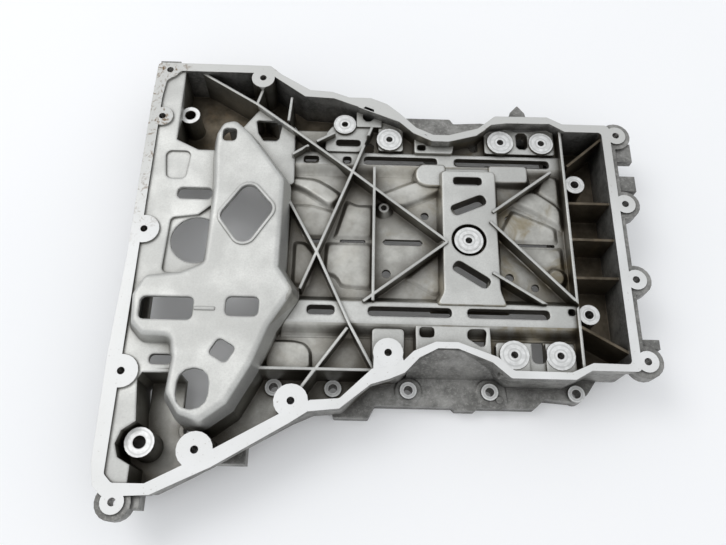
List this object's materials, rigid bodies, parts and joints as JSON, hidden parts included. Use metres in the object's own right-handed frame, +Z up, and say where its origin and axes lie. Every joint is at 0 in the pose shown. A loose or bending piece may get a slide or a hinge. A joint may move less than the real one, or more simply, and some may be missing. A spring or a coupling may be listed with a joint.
{
  "type": "engine oil pan",
  "caption": "Cast upper oil pan with a machined block rim, a ribbed and slotted deck, a raised cover at the gearbox end and a flange for the lower sump.",
  "frame": {"origin": "centre of the sump bolt pattern, on the machined sump face", "axes": "+X from the gearbox end to the front end, +Y across, +Z up towards the engine block"},
  "size_m": [0.494, 0.462, 0.0712],
  "materials": {
    "cast_aluminium": "as-cast and blasted, machined rim and bosses"
  },
  "bodies": {
    "root": {"oil_pan": "cast_aluminium"}
  },
  "joints": []
}
